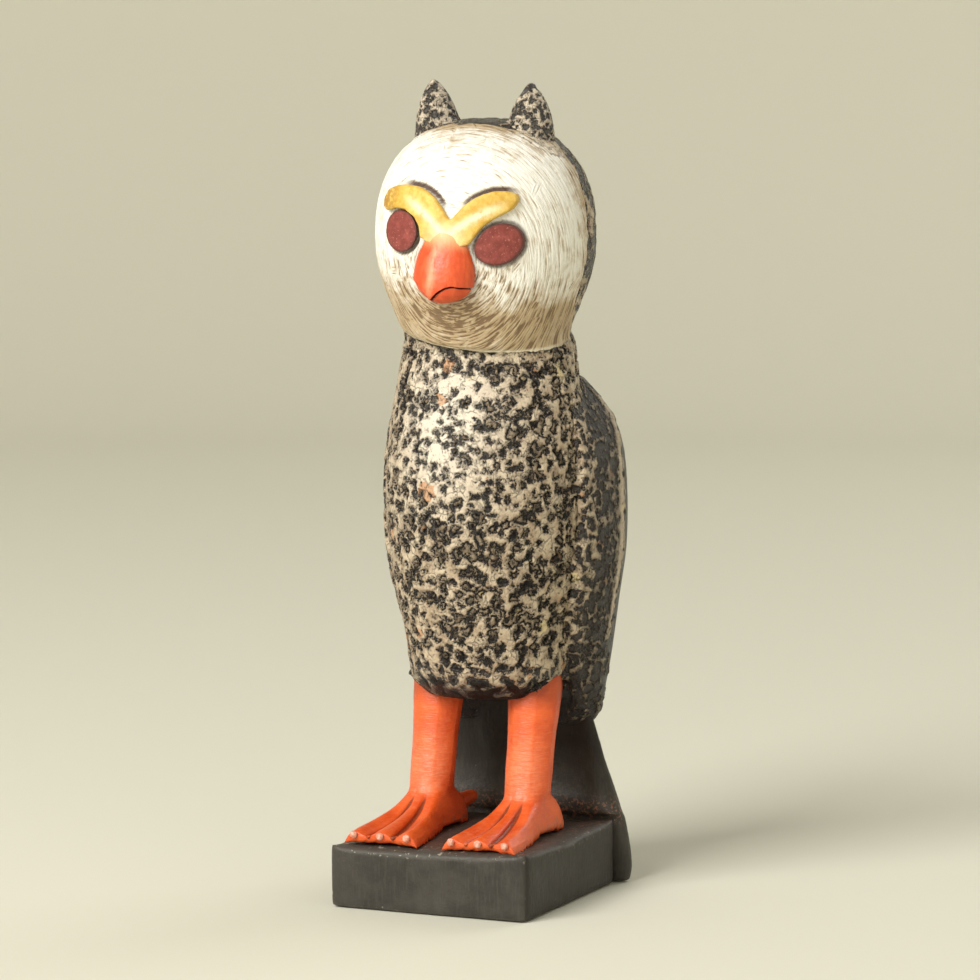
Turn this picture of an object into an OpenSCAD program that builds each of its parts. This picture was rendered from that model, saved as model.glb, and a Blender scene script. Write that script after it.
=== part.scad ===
// Carved and painted wooden owl that stands on a block, with its tail reaching the table behind it.
// The owl faces -Y, its left side is +X, and the origin is the centre of the block's underside.
// Pieces that are glued together lie glue_gap apart, and dowels sit in slightly larger bores.

/* [Plinth] */
// Width of the plinth, side to side
plinth_w = 79; // [76:1:82]
// Depth of the plinth, front to back
plinth_d = 84; // [82:1:86]
// Height of the plinth
plinth_h = 25.5; // [23:0.5:28]
// Radius of the plinth's four upright corners
plinth_corner_r = 2.5; // [1:0.5:5]

/* [Legs and feet] */
// Height of the body's underside above the plinth
leg_h = 48; // [45:1:52]
// Distance between the centre lines of the two legs
leg_spacing = 38.8; // [38:0.2:39]
// Radius of the owl's right leg where it enters the body
right_leg_r = 9.2; // [8.6:0.1:9.4]
// Radius of the owl's left leg where it enters the body
left_leg_r = 9.6; // [8.6:0.1:9.8]
// How far the ankles stand in front of the tops of the legs
leg_rake = 7; // [5:0.5:8]
// Height of a foot under the leg
foot_h = 12.5; // [11:0.5:13]
// Distance from one toe's centre line to the next, at the claws
toe_pitch = 10.6; // [10:0.1:10.8]

/* [Body and wings] */
// Width of the body without the wings, at its widest
body_w = 76; // [74:1:77]
// Height of the body from its underside to the front of the neck
body_h = 130; // [126:1:134]
// Slope of the joint between neck and head, rising towards the back
neck_tilt = 10; // [8:0.5:12]
// Slope of the same joint sideways, rising towards the owl's right
neck_roll = 6.5; // [4:0.5:8]
// Width over both folded wings
wings_w = 89; // [87:1:91]
// How far the wing tips hang below the body's underside
wing_tip_drop = 14.4; // [13:0.2:15]

/* [Tail] */
// Width of the tail where it meets the table
tail_w = 87.6; // [84:0.4:88.4]
// Thickness of the tail behind the plinth
tail_t = 11; // [10:0.5:12]

/* [Head] */
// Width of the head
head_w = 81.4; // [79:0.2:84]
// Height of the head, from the chin's lowest point to the crown
head_h = 86.2; // [84:0.2:88]
// Height of the ear tufts' tips above the crown
ear_h = 14; // [10:0.5:18]
// Roll of the face, which is carved a little askew
face_roll = 6.5; // [0:0.5:8]
// Distance between the centres of the eyes
eye_spacing = 38; // [37:0.5:39]
// Radius of an eye
eye_r = 7.7; // [7:0.1:8]
// Width of the bill at its widest
bill_w = 23.6; // [21:0.2:24]

/* [Joinery] */
// Radius of the dowel through each leg
leg_dowel_r = 3; // [2:0.5:4]
// Radius of the dowel in the neck
neck_dowel_r = 5; // [4:0.5:6]
// Radius of the dowels in the tail and the wings
small_dowel_r = 2; // [1.5:0.5:2.5]
// Room around a dowel in its bore
dowel_fit = 0.05; // [0.03:0.01:0.1]
// Thickness of the glue line between shaped faces
glue_gap = 0.12; // [0.1:0.02:0.2]

/* [Hidden] */

// Half-spaces are cut with blocks of this size
big = 300;
plinth_back = plinth_d / 2;
leg_x = leg_spacing / 2;
leg_y = 8;
foot_top = plinth_h + foot_h;
body_z = plinth_h + leg_h;
// Line that the body's sections are set out from
axis_y = 14;
body_r = body_w / 2;
wing_r = wings_w / 2;
// Part of the body's height below which its sections lie level
level_part = 0.6;
head_r = head_w / 2;
head_y = 10.9;
// The lowest point of the head lies a little below the front of the neck
head_z = body_z + body_h - 3.2 + head_h / 2;
crown_z = head_z + head_h / 2;
face_y = 12;
// Middle of the line between the eyes
eyes_x = 2.3;
eyes_z = head_z + 0.5;
colour_black = "#34302c";
colour_feather = "#6f6457";
colour_white = "#e9e0cf";
colour_yellow = "#e6bf55";
colour_orange = "#dd5a2b";
colour_maroon = "#8a3a33";
colour_pink = "#e0a08c";
colour_wood = "#c9a877";

// Body sections: part of the height, then half width, front reach and back reach in body_r
BODY = [
    [0, 0.62, 0.58, 0.76],
    [0.03, 0.745, 0.7, 0.765],
    [0.07, 0.785, 0.78, 0.77],
    [0.15, 0.79, 0.86, 0.78],
    [0.25, 0.85, 0.95, 0.79],
    [0.33, 0.91, 1, 0.8],
    [0.45, 0.97, 1.05, 0.81],
    [0.58, 1, 1.06, 0.81],
    [0.7, 0.98, 1.02, 0.81],
    [0.8, 0.94, 0.93, 0.81],
    [0.9, 0.88, 0.8, 0.82],
    [1, 0.84, 0.68, 0.8]];

// Wing sections: part of the body's height, half width in wing_r, back reach in body_r,
// and the angles on the body's section where the wing starts and ends
WING = [
    [-0.112, 0.75, 0.94, 48, 62],
    [-0.06, 0.785, 0.95, 33, 66],
    [0, 0.815, 0.95, 19, 70],
    [0.08, 0.86, 0.965, 10, 78],
    [0.17, 0.9, 0.98, 1, 86],
    [0.3, 0.955, 0.99, -6, 89.6],
    [0.42, 1, 1.01, -8, 89.6],
    [0.6, 1, 1.02, -8, 89.6],
    [0.7, 0.975, 0.98, -8, 89.6],
    [0.75, 0.93, 0.93, -8, 89.6],
    [0.8, 0.85, 0.86, -7, 89.6],
    [0.84, 0.75, 0.77, -5, 89.6],
    [0.87, 0.67, 0.7, -3, 89.6]];

// Tail sections behind the plinth, and above it as far as the wing tips: part of that height,
// half width in half of tail_w, front face behind the plinth's back, and thickness in tail_t
TAIL_LOW = [[0, 0.985, 0, 0.95], [0.23, 1, 0, 1], [0.63, 0.975, 0, 1], [1, 0.93, 0, 0.98]];
TAIL_HIGH = [[0, 0.93, -7, 1.6], [0.12, 0.9, -4, 1.3], [0.27, 0.86, -2, 1.05], [0.64, 0.76, -1.5, 0.8],
    [1, 0.67, -5, 0.5]];

// Foot sections: distance in front of the plinth's centre line, height, toe spacing in toe_pitch,
// and depth of the grooves between the toes
FOOT = [[-20.5, 4, 0.52, 0], [-18.5, 9, 0.6, 0], [-16, 12, 0.64, 0], [-9, 13.6, 0.67, 0],
    [1, 13.4, 0.67, 0.2], [5, 12.2, 0.67, 0.7], [9, 10, 0.71, 1.4], [14, 8, 0.78, 2],
    [22, 6.1, 0.88, 2.4], [31, 4.7, 0.96, 2.4], [38, 4, 1, 2.2], [40, 3.2, 1, 1.8]];

// Lower half of the head's outline: part of half its height, and part of head_r
HEAD_LOW = [[-1, 0.65], [-0.93, 0.7], [-0.83, 0.75], [-0.72, 0.8], [-0.6, 0.85], [-0.465, 0.905],
    [-0.325, 0.955], [-0.16, 0.99]];

// Bill sections: height from the eyes' line, half width in half of bill_w, reach in front of bill_y
bill_y = -27;
mouth_x = -1.5;
mouth_z = -22.8;
mouth_arch = 6;
BILL = [[-24.8, 0.2, 4.5], [-23.8, 0.44, 7], [-22, 0.72, 8.6], [-19, 0.95, 9.5], [-14.5, 1, 9.4],
    [-9.5, 0.98, 8.4], [-5, 0.87, 7.2], [-1, 0.68, 6], [1, 0.52, 5.4]];

// Outline of the brow, round both arms; the one over the right eye curls down beside it
BROW = [[-9.2, -1.2], [-10.5, 3.1], [-13.1, 6.1], [-17.9, 8.2], [-21.9, 8], [-26.9, 6.4], [-29.1, 7.8],
    [-29.2, 10.6], [-27.8, 13.8], [-23.4, 15.9], [-17.9, 16.8], [-12.7, 16.6], [-9.4, 15.6], [-5.9, 13.8],
    [-2.8, 11], [0, 7.6], [1.4, 6.7], [2.6, 7.6], [5.6, 12.1], [8.6, 15.1], [11.5, 17], [15, 18.5],
    [18.4, 18.9], [21.7, 18.2], [22.6, 16], [21.5, 13], [18.6, 10.6], [16, 8.6], [13, 5.6], [11.2, 2.6],
    [9.2, -1.2]];

// Smooth curve through rows that start with their place: column k, read at place t
function row_at(rows, t, i = 0) =
    i >= len(rows) - 2 || t < rows[i + 1][0] ? i : row_at(rows, t, i + 1);
function slope(rows, i, k) =
    let (a = max(i - 1, 0), b = min(i + 1, len(rows) - 1))
    (rows[b][k] - rows[a][k]) / (rows[b][0] - rows[a][0]);
function curve(rows, t, k) =
    let (
        i = row_at(rows, t),
        h = rows[i + 1][0] - rows[i][0],
        u = (t - rows[i][0]) / h,
        start = slope(rows, i, k) * h,
        end = slope(rows, i + 1, k) * h)
    (2 * u ^ 3 - 3 * u ^ 2 + 1) * rows[i][k] + (u ^ 3 - 2 * u ^ 2 + u) * start
        + (3 * u ^ 2 - 2 * u ^ 3) * rows[i + 1][k] + (u ^ 3 - u ^ 2) * end;
// 0 up to 0, 1 from 1 on, and smooth between
function ease(u) = let (v = min(max(u, 0), 1)) v * v * (3 - 2 * v);
// Cosine and sine with their size raised to a power, for squarer or pointier ovals
function cos_p(a, p) = sign(cos(a)) * abs(cos(a)) ^ p;
function sin_p(a, p) = sign(sin(a)) * abs(sin(a)) ^ p;

// Closed solid through a stack of rings, each turning right-handed about the way the stack goes
module loft(rings) {
    n = len(rings[0]);
    last = (len(rings) - 1) * n;
    sides = [for (i = [0 : len(rings) - 2], j = [0 : n - 1])
        let (a = i * n + j, b = i * n + (j + 1) % n)
        each [[a, a + n, b + n], [a, b + n, b]]];
    floor = [for (j = [0 : n - 1]) j];
    lid = [for (j = [n - 1 : -1 : 0]) last + j];
    polyhedron([for (ring = rings) each ring], concat(sides, [floor], [lid]));
}

// Points of the body's section at part t of its height, which turns into the slope of the neck
neck_rise = tan(neck_tilt) / cos(neck_roll);
function body_size(t, k) = body_r * curve(BODY, max(t, 0), k);
function on_section(t, x, y) =
    let (rise = neck_rise * (y - axis_y + body_size(t, 2)) - tan(neck_roll) * x)
    [x, y, body_z + body_h * t + rise * ease((t - level_part) / (1 - level_part))];
function body_xy(t, a, grow) =
    [(body_size(t, 1) + grow) * cos(a),
        axis_y + (body_size(t, sin(a) < 0 ? 2 : 3) + grow) * sin(a)];
function body_point(t, a) = let (p = body_xy(t, a, 0)) on_section(t, p.x, p.y);

module body_form() {
    steps = 20;
    loft([for (i = [0 : steps]) [for (a = [0 : 7.5 : 359]) body_point(i / steps, a)]]);
}

// A bore for a dowel of radius r and length l, up along Z from where it is placed
module bore(r, l) {
    cylinder(h = l + dowel_fit, r = r + dowel_fit, $fn = 48);
}

module dowel(r, l) {
    cylinder(h = l, r = r, $fn = 48);
}

// Frame of a leg: its middle line, which leans back as it rises, from the middle of the plinth up
leg_lean = atan(leg_rake / (body_z - foot_top));
leg_dowel_l = leg_h + plinth_h / 2 + 22;
function leg_line(z) = leg_y + tan(leg_lean) * (z - (foot_top + body_z) / 2);
module at_leg(side) {
    translate([side * leg_x, leg_line(plinth_h / 2), plinth_h / 2])
        rotate([-leg_lean, 0, 0])
            children();
}

neck_dowel_y = 24;
neck_dowel_l = 40;
module at_neck() {
    z = body_z + body_h + neck_rise * (neck_dowel_y - axis_y + body_size(1, 2));
    translate([0, neck_dowel_y, z - neck_dowel_l / 2])
        children();
}

// Dowels between the tail and the plinth's back
tail_dowel_l = 18;
module at_tail_dowels() {
    for (side = [-1, 1])
        translate([side * plinth_w / 3, plinth_back - tail_dowel_l * 0.6, plinth_h / 2])
            rotate([-90, 0, 0])
                children();
}

// Dowels between the wings and the body, two on each side
wing_dowel_l = 12;
wing_dowel_y = 22;
module at_wing_dowels() {
    for (side = [-1, 1], t = [0.3, 0.62])
        translate([side * (body_size(t, 1) - 10), wing_dowel_y, body_z + body_h * t])
            rotate([0, side * 90, 0])
                children();
}

// Plinth, with bores for the dowels of the legs and the tail
module plinth() {
    w = plinth_w - 2 * plinth_corner_r;
    d = plinth_d - 2 * plinth_corner_r;
    color(colour_black)
        difference() {
            linear_extrude(plinth_h)
                union() {
                    square([plinth_w, d], center = true);
                    square([w, plinth_d], center = true);
                    for (x = [-w / 2, w / 2], y = [-d / 2, d / 2])
                        translate([x, y])
                            circle(r = plinth_corner_r, $fn = 32);
                }
            for (side = [-1, 1])
                at_leg(side)
                    bore(leg_dowel_r, leg_dowel_l);
            at_tail_dowels()
                bore(small_dowel_r, tail_dowel_l);
        }
}

// Fan-shaped tail: it stands on the table behind the plinth, with a root that curves onto the plinth,
// and a tongue inside the wings that thickens forwards as it rises to the body
tail_top = body_z - wing_tip_drop - glue_gap;
function tail_ring(rows, t, z) =
    let (
        half = tail_w / 2 * curve(rows, t, 1),
        front = plinth_back + glue_gap + curve(rows, t, 2),
        deep = tail_t * curve(rows, t, 3) / 2)
    [for (a = [0 : 9 : 359])
        [half * cos_p(a, 0.5), front + deep + deep * sin_p(a, 0.5), z]];

function tongue_ring(z, start) =
    [for (i = [0 : 12])
        let (p = body_xy(wing_seat, start + (180 - 2 * start) * i / 12, -glue_gap))
        [p.x, p.y, z]];

module tail() {
    root = plinth_h + glue_gap;
    low = [for (i = [0 : 6]) tail_ring(TAIL_LOW, i / 6, plinth_h * i / 6)];
    high = [for (i = [0 : 10]) tail_ring(TAIL_HIGH, i / 10, root + (tail_top - root) * i / 10)];
    tongue_low = plinth_h + 12;
    tongue_h = body_z - glue_gap - tongue_low;
    tongue = [for (i = [0 : 4]) tongue_ring(tongue_low + tongue_h * i / 4, 69 - 21 * ease(i / 3))];
    color(colour_black)
        difference() {
            union() {
                loft(concat(low, high));
                loft(tongue);
            }
            at_tail_dowels()
                bore(small_dowel_r, tail_dowel_l);
        }
}

// Egg-shaped body, rounded below and cut slantwise at the neck, with a socket for each leg
module body() {
    color(colour_feather)
        difference() {
            body_form();
            leg_form(-1, right_leg_r, glue_gap);
            leg_form(1, left_leg_r, glue_gap);
            for (side = [-1, 1])
                at_leg(side)
                    bore(leg_dowel_r, leg_dowel_l);
            at_neck()
                bore(neck_dowel_r, neck_dowel_l);
            at_wing_dowels()
                bore(small_dowel_r, wing_dowel_l);
        }
}

// Folded wing: its inside lies along the body, or along the body's section at wing_seat where the body
// rounds off below, and its outside is squarer
wing_seat = 0.1;
function wing_pair(t, u) =
    let (
        a = min(curve(WING, t, 3) * (1 - u) + curve(WING, t, 4) * u, 89.6),
        p = body_xy(max(t, wing_seat), a, glue_gap) - [0, axis_y],
        far = norm(p),
        square_side = abs(p.x) / (wing_r * curve(WING, t, 1)),
        square_back = abs(p.y) / (body_r * curve(WING, t, 2)),
        cloak = far / (square_side ^ 7 + square_back ^ 7) ^ (1 / 7),
        thick = max((cloak - far) * (0.5 + 0.5 * ease(u * 4)), 0.6))
    [p, p * (1 + thick / far)];

// The wing on the owl's left when side is 1, and on its right when side is -1
module wing(side) {
    rows = 22;
    columns = 14;
    low = -wing_tip_drop / body_h;
    high = WING[len(WING) - 1][0];
    rings = [for (i = [0 : rows])
        let (
            t = low + (high - low) * i / rows,
            pairs = [for (j = [0 : columns]) wing_pair(t, j / columns)],
            outline = concat([for (p = pairs) p[1]], [for (j = [columns : -1 : 0]) pairs[j][0]]))
        [for (j = [0 : len(outline) - 1])
            let (p = outline[side > 0 ? j : len(outline) - 1 - j])
            on_section(t, side * p.x, p.y + axis_y)]];
    color(colour_feather)
        difference() {
            loft(rings);
            at_wing_dowels()
                bore(small_dowel_r, wing_dowel_l);
        }
}

module left_wing() {
    wing(1);
}

module right_wing() {
    wing(-1);
}

// Leg from the foot up into its socket in the body, waisted, and grown by a given thickness
leg_socket = 7;
LEG = [[0, 0.95], [0.15, 0.93], [0.35, 0.92], [0.6, 0.94], [0.8, 0.97], [1, 1]];
module leg_form(side, r, grow = 0) {
    h = body_z + leg_socket + grow - foot_top;
    loft([for (i = [0 : 9])
        let (z = foot_top + h * i / 9, size = r * curve(LEG, i / 9, 1) + grow)
        [for (a = [0 : 9 : 359]) [side * leg_x + size * cos(a), leg_line(z) + size * sin(a), z]]]);
}

// Leg with its dowel's bore right through
module leg(side, r) {
    color(colour_orange)
        difference() {
            leg_form(side, r);
            at_leg(side)
                bore(leg_dowel_r, leg_dowel_l);
        }
}

module right_leg() {
    leg(-1, right_leg_r);
}

module left_leg() {
    leg(1, left_leg_r);
}

// Foot with three toes: ridges that spread from the ankle to the plinth's front edge
function foot_ring(ahead) =
    let (
        pitch = toe_pitch * curve(FOOT, ahead, 2),
        top = min(curve(FOOT, ahead, 1), foot_h),
        groove = curve(FOOT, ahead, 3),
        edge = 1.45)
    concat([[-edge * pitch, -ahead, 0], [edge * pitch, -ahead, 0]],
        [for (i = [0 : 24])
            let (
                u = edge - 2 * edge * i / 24,
                round = abs(u) < 1 ? 1 : (1 - (abs(u) - 1) / 0.47) ^ 0.7)
            [u * pitch, -ahead, (top - groove * sin(180 * u) ^ 2) * round]]);

heel = FOOT[0][0];
toes = FOOT[len(FOOT) - 1][0];
module foot(side) {
    steps = 18;
    color(colour_orange)
        difference() {
            translate([side * leg_x, 0, plinth_h])
                loft([for (i = [0 : steps]) foot_ring(heel + (toes - heel) * i / steps)]);
            at_leg(side)
                bore(leg_dowel_r, leg_dowel_l);
        }
}

module right_foot() {
    foot(-1);
}

module left_foot() {
    foot(1);
}

// Short toe that points back from the heel
module hind_toe(side) {
    color(colour_orange)
        hull() {
            translate([side * (leg_x - 1), 24.6, plinth_h + 4])
                sphere(r = 3.9, $fn = 16);
            translate([side * (leg_x - 4), 32, plinth_h + 6])
                sphere(r = 3.2, $fn = 16);
        }
}

module right_hind_toe() {
    hind_toe(-1);
}

module left_hind_toe() {
    hind_toe(1);
}

// Claws: small domes on the ends of the three front toes
module claws(side) {
    r = 1.6;
    color(colour_pink)
        for (u = [-1 : 1])
            translate([side * leg_x + u * toe_pitch, -toes, plinth_h + r + 0.1])
                intersection() {
                    sphere(r = r, $fn = 32);
                    translate([-r, -2 * r, -r])
                        cube(2 * r);
                }
}

module right_claws() {
    claws(-1);
}

module left_claws() {
    claws(1);
}

// Head: a full oval above and narrower towards the neck, turned about its upright axis,
// and grown by a given thickness
module head_form(grow = 0) {
    power = 2 / 2.3;
    half = head_h / 2 + grow;
    r = head_r + grow;
    translate([0, head_y, head_z])
        rotate_extrude($fn = 96)
            polygon(concat([[0, -half]], [for (p = HEAD_LOW) [r * p[1], half * p[0]]],
                [for (a = [0 : 7.5 : 90]) [r * cos_p(a, power), half * sin_p(a, power)]]));
}

// Everything below the slanting joint between neck and head
module below_neck() {
    translate([0, axis_y - body_size(1, 2), body_z + body_h])
        rotate([neck_tilt, neck_roll, 0])
            translate([-big / 2, -big / 2, -big])
                cube(big);
}

// Back of the head, with the bore for the neck's dowel
module head() {
    color(colour_black)
        difference() {
            head_form();
            below_neck();
            translate([-big / 2, face_y - big, 0])
                cube([big, big, 2 * big]);
            at_neck()
                bore(neck_dowel_r, neck_dowel_l);
        }
}

// Front of the head, painted as the pale face
module face_disc() {
    color(colour_white)
        difference() {
            head_form();
            below_neck();
            translate([-big / 2, face_y, 0])
                cube([big, big, 2 * big]);
        }
}

// Frame of the face's features: X across the eyes and Y up the face, drawn forwards along -Y
module on_face() {
    translate([eyes_x, 0, eyes_z])
        rotate([0, face_roll, 0])
            rotate([90, 0, 0])
                children();
}

// A layer of given thickness on the head's surface, kept where the outline covers it
module face_layer(thickness) {
    intersection() {
        difference() {
            head_form(thickness);
            head_form(glue_gap);
        }
        on_face()
            linear_extrude(big / 2)
                children();
    }
}

// Brow: a wide V over the eyes that springs from the top of the bill
module brow() {
    color(colour_yellow)
        difference() {
            face_layer(2.4)
                polygon(BROW);
            bill_form(glue_gap);
        }
}

// Eyes: thick round plates on the face
module eye(side) {
    color(colour_maroon)
        face_layer(1.8)
            translate([side * eye_spacing / 2, 0])
                circle(r = eye_r, $fn = 48);
}

module right_eye() {
    eye(-1);
}

module left_eye() {
    eye(1);
}

// Bulging bill, before it is divided and seated on the face, and grown by a given thickness
module bill_form(grow = 0) {
    first = BILL[0][0];
    last = BILL[len(BILL) - 1][0];
    steps = 12;
    translate([eyes_x, 0, eyes_z])
        rotate([0, face_roll, 0])
            loft([for (i = [0 : steps])
                let (
                    v = first + (last - first) * ease(i / steps),
                    half = bill_w / 2 * curve(BILL, v, 1) + grow,
                    reach = curve(BILL, v, 2) + grow,
                    up = v + grow * (2 * i / steps - 1))
                [for (a = [0 : 11.25 : 359])
                    [half * cos(a), bill_y + (sin(a) < 0 ? reach : 7) * sin(a), up]]]);
}

// Height of the line of the mouth, which arches up on both sides of the tip
function mouth_line(u) = mouth_z + mouth_arch * sin(90 * min(abs(u - mouth_x) / 8.5, 1.15));

// Everything below the line of the mouth, or above a line 0.15 lower when up is -1
module beyond_mouth(up) {
    lower = up > 0 ? 0 : 0.15;
    reach = 24;
    translate([eyes_x, 0, eyes_z])
        rotate([0, face_roll, 0])
            rotate([90, 0, 0])
                linear_extrude(big, center = true)
                    polygon(concat(
                        [for (u = [-reach : reach]) [mouth_x + u, mouth_line(mouth_x + u) - lower]],
                        [[reach, -up * big], [-reach, -up * big]]));
}

module upper_bill() {
    color(colour_orange)
        difference() {
            bill_form();
            head_form(glue_gap);
            beyond_mouth(1);
        }
}

module lower_bill() {
    color(colour_orange)
        difference() {
            bill_form(-0.7);
            head_form(glue_gap);
            beyond_mouth(-1);
        }
}

// Ear tuft: a blunt cone that leans forwards and outwards, with its foot cut to the head
module ear_tuft(side) {
    buried = 8;
    h = ear_h + buried + 3.3;
    color(colour_feather)
        difference() {
            translate([side * 18, 10, crown_z - buried - 3.3])
                rotate([6, side * 3.5, 0])
                    rotate_extrude($fn = 48)
                        polygon(concat([[0, 0]], [for (u = [0 : 0.1 : 0.95])
                            [9.2 * (1 - u ^ 2) ^ 0.7, h * u]],
                            [[1.2, h * 0.992], [0, h]]));
            head_form(glue_gap);
        }
}

module right_ear_tuft() {
    ear_tuft(-1);
}

module left_ear_tuft() {
    ear_tuft(1);
}

module neck_dowel() {
    color(colour_wood)
        at_neck()
            dowel(neck_dowel_r, neck_dowel_l);
}

module leg_dowel(side) {
    color(colour_wood)
        at_leg(side)
            dowel(leg_dowel_r, leg_dowel_l);
}

module right_leg_dowel() {
    leg_dowel(-1);
}

module left_leg_dowel() {
    leg_dowel(1);
}

module tail_dowels() {
    color(colour_wood)
        at_tail_dowels()
            dowel(small_dowel_r, tail_dowel_l);
}

module wing_dowels() {
    color(colour_wood)
        at_wing_dowels()
            dowel(small_dowel_r, wing_dowel_l);
}

plinth();
tail();
body();
right_wing();
left_wing();
right_leg();
left_leg();
right_foot();
left_foot();
right_hind_toe();
left_hind_toe();
right_claws();
left_claws();
head();
face_disc();
brow();
upper_bill();
lower_bill();
right_eye();
left_eye();
right_ear_tuft();
left_ear_tuft();
neck_dowel();
right_leg_dowel();
left_leg_dowel();
tail_dowels();
wing_dowels();
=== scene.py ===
"""Looks of the carved wooden owl. Each visible piece starts as its CAD solid, then is carved and painted."""

import math

import bmesh
import bpy
import numpy as np
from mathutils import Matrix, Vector, noise
from mathutils.bvhtree import BVHTree


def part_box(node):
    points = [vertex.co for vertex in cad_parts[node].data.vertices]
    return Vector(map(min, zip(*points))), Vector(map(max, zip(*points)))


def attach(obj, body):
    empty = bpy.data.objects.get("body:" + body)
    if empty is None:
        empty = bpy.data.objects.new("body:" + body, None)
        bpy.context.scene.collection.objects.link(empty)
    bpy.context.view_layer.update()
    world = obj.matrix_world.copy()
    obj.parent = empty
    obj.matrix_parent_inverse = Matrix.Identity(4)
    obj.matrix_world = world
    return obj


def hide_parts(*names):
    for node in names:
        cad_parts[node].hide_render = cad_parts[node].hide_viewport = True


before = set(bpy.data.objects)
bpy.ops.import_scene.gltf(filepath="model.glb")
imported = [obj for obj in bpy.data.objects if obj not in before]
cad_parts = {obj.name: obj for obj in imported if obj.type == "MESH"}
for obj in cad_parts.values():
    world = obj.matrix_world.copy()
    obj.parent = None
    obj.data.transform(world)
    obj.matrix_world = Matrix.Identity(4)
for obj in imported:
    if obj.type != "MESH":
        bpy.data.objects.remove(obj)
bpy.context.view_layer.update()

MM = 0.001
UP = np.array([0, 0, 1])
SOCKET_DEPTH = 6.5 * MM  # over this height above the body's underside, the legs fill their sockets
EAR_PATCH = 14 * MM  # radius of the piece of the head that an ear tuft grows out of


# ---------------------------------------------------------------- places, all taken from the frame

def corners(node):
    """Lowest and highest corner of a CAD node as arrays."""
    low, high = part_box(node)
    return np.array(low), np.array(high)


PLINTH_LOW, PLINTH_HIGH = corners("plinth")
BODY_LOW = corners("body")[0]
FACE_LOW, FACE_HIGH = corners("face_disc")
FOOT_HIGH = corners("left_foot")[1]
LEG_LOW, LEG_HIGH = corners("left_leg")
EYE_PLACES = {node: sum(corners(node)) / 2 for node in ("right_eye", "left_eye")}
OWL_MIDDLE = Vector((0, 0, 0.15))

CROWN = FACE_HIGH[2]
FACE_BACK = FACE_HIGH[1]
HEAD_R = (FACE_HIGH[0] - FACE_LOW[0]) / 2
HEAD_MIDDLE = np.array([0, corners("head")[1][1] - HEAD_R, (FACE_LOW[2] + CROWN) / 2])

# The face's own frame: its middle lies between the eyes, and it is rolled as they are
FACE_MIDDLE = (EYE_PLACES["right_eye"] + EYE_PLACES["left_eye"]) / 2
EYE_LINE = EYE_PLACES["left_eye"] - EYE_PLACES["right_eye"]
ROLL = math.atan2(EYE_LINE[2], EYE_LINE[0])
FACE_RIGHT = np.array([math.cos(ROLL), 0, math.sin(ROLL)])
FACE_UP = np.array([-math.sin(ROLL), 0, math.cos(ROLL)])


# ---------------------------------------------------------------- arrays and meshes

def ease(value, start, end):
    """0 before start, 1 after end, and smooth between; start may be the larger one."""
    share = np.clip((value - start) / (end - start), 0, 1)
    return share * share * (3 - 2 * share)


def bell(value, middle, width):
    """1 at the middle, falling off over the width."""
    return np.exp(-(((value - middle) / width) ** 2))


def read(collection, field, size):
    """One field of all the items as an array, with a row for each item if size is more than 1."""
    values = np.empty(len(collection) * size, np.float32)
    collection.foreach_get(field, values)
    return values.reshape(-1, size).astype(float) if size > 1 else values.astype(float)


def places(piece):
    """Where the vertices are, in a row each."""
    return read(piece.data.vertices, "co", 3)


def normals(piece):
    """Which way the surface faces at each vertex."""
    return read(piece.data.vertex_normals, "vector", 3)


def place(piece, points):
    """Moves the vertices to the given places."""
    piece.data.vertices.foreach_set("co", points.astype(np.float32).ravel())
    piece.data.update()


def store(piece, name, values):
    """Keeps a number or a point for each vertex, for the relief and the material to read."""
    is_point = values.ndim == 2
    mesh = piece.data
    if name in mesh.attributes:
        mesh.attributes.remove(mesh.attributes[name])
    attribute = mesh.attributes.new(name, "FLOAT_VECTOR" if is_point else "FLOAT", "POINT")
    attribute.data.foreach_set("vector" if is_point else "value", values.astype(np.float32).ravel())


def bake_modifiers(piece):
    """Makes what the modifiers show into the piece's own mesh."""
    bpy.context.view_layer.update()
    graph = bpy.context.evaluated_depsgraph_get()
    shown = piece.evaluated_get(graph)
    mesh = bpy.data.meshes.new_from_object(shown, preserve_all_data_layers=True, depsgraph=graph)
    mesh.name = piece.name
    piece.modifiers.clear()
    piece.data = mesh


def new_piece(name, shape):
    """An object of a bmesh, which is used up."""
    mesh = bpy.data.meshes.new(name)
    shape.to_mesh(mesh)
    shape.free()
    piece = bpy.data.objects.new(name, mesh)
    bpy.context.scene.collection.objects.link(piece)
    return piece


def clay(name, nodes, voxel, rounds, plugs=()):
    """A new piece of the CAD nodes' solids, melted into fine even quads and rubbed smooth.
    Of the nodes in plugs it takes what lies well inside the body, which fills their sockets."""
    shape = bmesh.new()
    for node in plugs:
        shape.from_mesh(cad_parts[node].data)
    slice_off(shape, BODY_LOW + UP * SOCKET_DEPTH, -UP)
    for node in nodes:
        shape.from_mesh(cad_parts[node].data)
    piece = new_piece(name, shape)
    melt = piece.modifiers.new("melt", "REMESH")
    melt.mode = "VOXEL"
    melt.voxel_size = voxel * MM
    melt.use_smooth_shade = True
    rub(piece, rounds)
    return piece


def slice_off(shape, at, way):
    """Cuts a bmesh at a plane, drops what lies beyond it in the given way, and closes the cut."""
    everything = shape.verts[:] + shape.edges[:] + shape.faces[:]
    bmesh.ops.bisect_plane(shape, geom=everything, plane_co=at, plane_no=way, clear_outer=True)
    open_edges = [e for e in shape.edges if e.is_boundary]
    lids = bmesh.ops.holes_fill(shape, edges=open_edges, sides=0)["faces"]
    bmesh.ops.triangulate(shape, faces=lids)


def part_of(whole, name, at, way):
    """The part of a piece that lies on the near side of a plane, as a new closed piece."""
    shape = bmesh.new()
    shape.from_mesh(whole.data)
    slice_off(shape, at, way)
    return new_piece(name, shape)


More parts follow.
